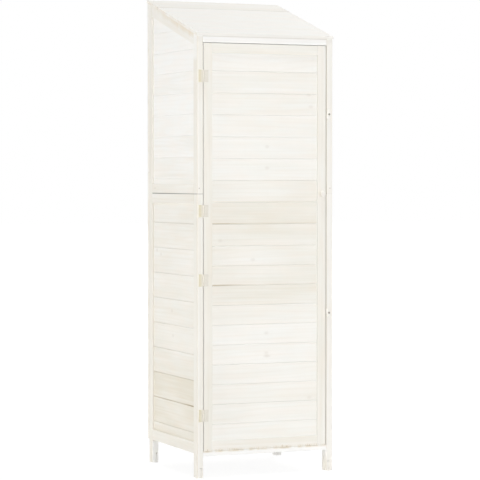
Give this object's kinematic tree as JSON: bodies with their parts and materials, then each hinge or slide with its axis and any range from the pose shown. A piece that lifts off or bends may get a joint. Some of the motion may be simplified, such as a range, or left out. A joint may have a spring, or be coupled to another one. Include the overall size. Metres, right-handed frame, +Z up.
{
  "type": "garden shed",
  "caption": "Tall narrow timber garden shed with a single-pitch roof, boarded side frames on short legs, a full-height hinged door, turn buttons, a floor and an inner shelf.",
  "frame": {"origin": "on the ground, in the middle of the plan between the two sides, the front of the posts and the back boards", "axes": "+X to the right seen from the door side, +Y from the door to the back, +Z up"},
  "size_m": [0.561, 0.537, 1.816],
  "materials": {
    "post_wood": "whitewashed fir, matt",
    "rail_wood": "whitewashed fir, matt",
    "side_boards": "whitewashed fir, matt",
    "back_boards": "whitewashed fir, matt",
    "roof_boards": "whitewashed fir, matt",
    "door_frame": "whitewashed fir, matt",
    "door_boards": "whitewashed fir, matt",
    "inner_wood": "whitewashed fir, matt",
    "turned_wood": "whitewashed fir, matt",
    "hinge_steel": "passivated steel, satin",
    "screw_steel": "dull zinc"
  },
  "bodies": {
    "shed": {"back_lower_boards": "back_boards", "back_upper_boards": "back_boards", "bottom_hinge_post_leaf": "hinge_steel", "floor_boards": "inner_wood", "front_floor_rail": "rail_wood", "front_top_rail": "rail_wood", "left_door_stop": "inner_wood", "left_lower_boards": "side_boards", "left_lower_bottom_rail": "rail_wood", "left_lower_front_post": "post_wood", "left_lower_rear_post": "post_wood", "left_lower_top_rail": "rail_wood", "left_shelf_cleat": "inner_wood", "left_sloping_rail": "rail_wood", "left_upper_boards": "side_boards", "left_upper_bottom_rail": "rail_wood", "left_upper_front_post": "post_wood", "left_upper_rear_post": "post_wood", "lower_middle_hinge_post_leaf": "hinge_steel", "rear_floor_rail": "rail_wood", "rear_top_rail": "rail_wood", "right_door_stop": "inner_wood", "right_lower_boards": "side_boards", "right_lower_bottom_rail": "rail_wood", "right_lower_front_post": "post_wood", "right_lower_rear_post": "post_wood", "right_lower_top_rail": "rail_wood", "right_shelf_cleat": "inner_wood", "right_sloping_rail": "rail_wood", "right_upper_boards": "side_boards", "right_upper_bottom_rail": "rail_wood", "right_upper_front_post": "post_wood", "right_upper_rear_post": "post_wood", "roof_boards": "roof_boards", "shelf_boards": "inner_wood", "top_door_stop": "inner_wood", "top_hinge_post_leaf": "hinge_steel", "turn_button_screws": "screw_steel", "turn_button_washers": "screw_steel", "upper_middle_hinge_post_leaf": "hinge_steel"},
    "door": {"bottom_hinge_door_leaf": "hinge_steel", "door_boards": "door_boards", "door_bottom_rail": "door_frame", "door_hinge_stile": "door_frame", "door_knob": "turned_wood", "door_latch_stile": "door_frame", "door_top_rail": "door_frame", "lower_middle_hinge_door_leaf": "hinge_steel", "top_hinge_door_leaf": "hinge_steel", "upper_middle_hinge_door_leaf": "hinge_steel"},
    "upper_button": {"upper_turn_button": "turned_wood"},
    "lower_button": {"lower_turn_button": "turned_wood"}
  },
  "joints": [
    {"name": "door_hinge", "type": "hinge", "parent": "shed", "child": "door", "pos_m": [-0.252, -0.263, 0.86], "axis": [0, 0, -1], "range_deg": [0, 170]},
    {"name": "upper_button_turn", "type": "hinge", "parent": "shed", "child": "upper_button", "pos_m": [0.26, -0.2608, 1.36], "axis": [0, 1, 0], "continuous": true},
    {"name": "lower_button_turn", "type": "hinge", "parent": "shed", "child": "lower_button", "pos_m": [0.26, -0.2608, 0.605], "axis": [0, 1, 0], "continuous": true}
  ]
}
